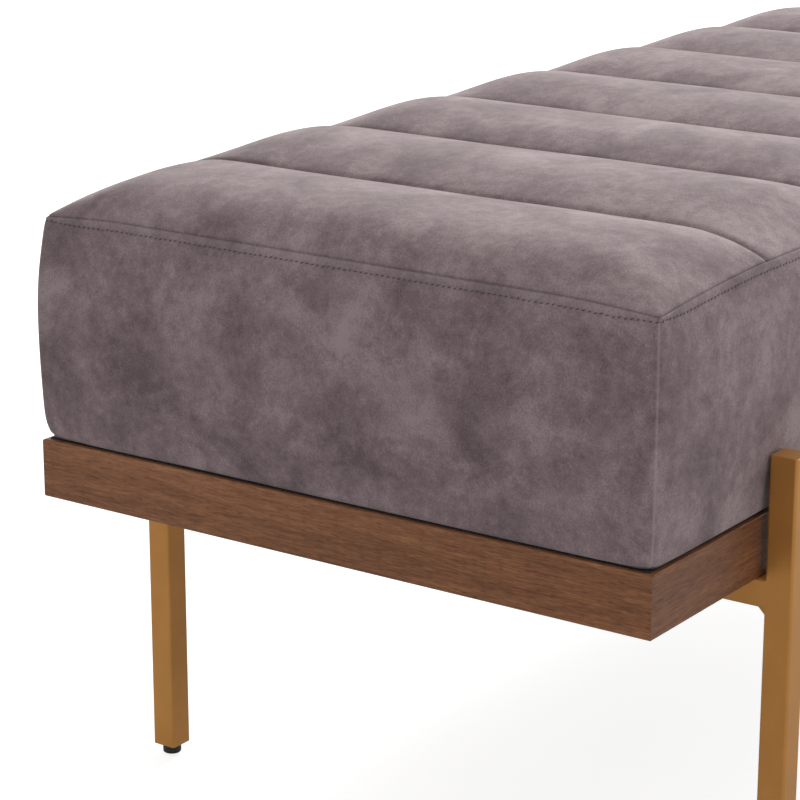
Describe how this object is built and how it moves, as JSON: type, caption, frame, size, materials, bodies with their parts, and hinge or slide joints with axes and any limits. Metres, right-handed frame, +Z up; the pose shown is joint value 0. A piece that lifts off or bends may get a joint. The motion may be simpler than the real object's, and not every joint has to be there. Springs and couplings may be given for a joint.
{
  "type": "channelled upholstered bench",
  "caption": "Rectangular bench with a boxed cushion sewn in cross channels, on a mitred wooden plinth carried by square-tube H-frames with screw-in levelling feet.",
  "frame": {"origin": "on the floor, under the middle of the bench", "axes": "+X along the bench to its right end, +Y from front to rear, +Z up"},
  "size_m": [1.188, 0.5386, 0.482],
  "materials": {
    "suede": "matte",
    "walnut": "satin",
    "brass_finish": "satin",
    "black_nylon": "matte",
    "timber": "matte",
    "plywood": "matte",
    "foam": "matte",
    "wadding": "matte",
    "dust_cloth": "matte",
    "steel": "satin"
  },
  "bodies": {
    "bench": {"batten_dowels": "timber", "centre_batten": "timber", "channel_pad_1": "wadding", "channel_pad_2": "wadding", "channel_pad_3": "wadding", "channel_pad_4": "wadding", "channel_pad_5": "wadding", "channel_pad_6": "wadding", "channel_pad_7": "wadding", "channel_pad_8": "wadding", "crossbar_bolts": "steel", "dust_cover": "dust_cloth", "foam_core": "foam", "front_boxing": "suede", "front_left_corner_block": "timber", "front_left_foot_insert": "steel", "front_left_post": "brass_finish", "front_left_post_cap": "brass_finish", "front_rail": "walnut", "front_right_corner_block": "timber", "front_right_foot_insert": "steel", "front_right_post": "brass_finish", "front_right_post_cap": "brass_finish", "insert_nuts": "steel", "left_batten": "timber", "left_boxing": "suede", "left_crossbar": "brass_finish", "left_rail": "walnut", "left_weld_beads": "brass_finish", "rear_boxing": "suede", "rear_left_corner_block": "timber", "rear_left_foot_insert": "steel", "rear_left_post": "brass_finish", "rear_left_post_cap": "brass_finish", "rear_rail": "walnut", "rear_right_corner_block": "timber", "rear_right_foot_insert": "steel", "rear_right_post": "brass_finish", "rear_right_post_cap": "brass_finish", "right_batten": "timber", "right_boxing": "suede", "right_crossbar": "brass_finish", "right_rail": "walnut", "right_weld_beads": "brass_finish", "seat_deck": "plywood", "seat_screws": "steel", "staples": "steel", "top_cover": "suede"},
    "front_left_foot": {"front_left_foot_pad": "black_nylon"},
    "front_left_screw": {"front_left_foot_stud": "steel"},
    "front_right_foot": {"front_right_foot_pad": "black_nylon"},
    "front_right_screw": {"front_right_foot_stud": "steel"},
    "rear_left_foot": {"rear_left_foot_pad": "black_nylon"},
    "rear_left_screw": {"rear_left_foot_stud": "steel"},
    "rear_right_foot": {"rear_right_foot_pad": "black_nylon"},
    "rear_right_screw": {"rear_right_foot_stud": "steel"}
  },
  "joints": [
    {"name": "front_left_foot_lower", "type": "slide", "parent": "bench", "child": "front_left_foot", "axis": [0, 0, -1], "range_m": [0, 0.008]},
    {"name": "front_left_foot_turn", "type": "hinge", "parent": "front_left_foot", "child": "front_left_screw", "pos_m": [-0.442, -0.2593, 0.008], "axis": [0, 0, -1], "range_deg": [0, 2880]},
    {"name": "front_right_foot_lower", "type": "slide", "parent": "bench", "child": "front_right_foot", "axis": [0, 0, -1], "range_m": [0, 0.008]},
    {"name": "front_right_foot_turn", "type": "hinge", "parent": "front_right_foot", "child": "front_right_screw", "pos_m": [0.442, -0.2593, 0.008], "axis": [0, 0, -1], "range_deg": [0, 2880]},
    {"name": "rear_left_foot_lower", "type": "slide", "parent": "bench", "child": "rear_left_foot", "axis": [0, 0, -1], "range_m": [0, 0.008]},
    {"name": "rear_left_foot_turn", "type": "hinge", "parent": "rear_left_foot", "child": "rear_left_screw", "pos_m": [-0.442, 0.2593, 0.008], "axis": [0, 0, -1], "range_deg": [0, 2880]},
    {"name": "rear_right_foot_lower", "type": "slide", "parent": "bench", "child": "rear_right_foot", "axis": [0, 0, -1], "range_m": [0, 0.008]},
    {"name": "rear_right_foot_turn", "type": "hinge", "parent": "rear_right_foot", "child": "rear_right_screw", "pos_m": [0.442, 0.2593, 0.008], "axis": [0, 0, -1], "range_deg": [0, 2880]}
  ],
  "couplings": [
    {"joint": "front_left_foot_turn", "follows": "front_left_foot_lower", "rad_per_m": 6283.2},
    {"joint": "front_right_foot_turn", "follows": "front_right_foot_lower", "rad_per_m": 6283.2},
    {"joint": "rear_left_foot_turn", "follows": "rear_left_foot_lower", "rad_per_m": 6283.2},
    {"joint": "rear_right_foot_turn", "follows": "rear_right_foot_lower", "rad_per_m": 6283.2}
  ]
}
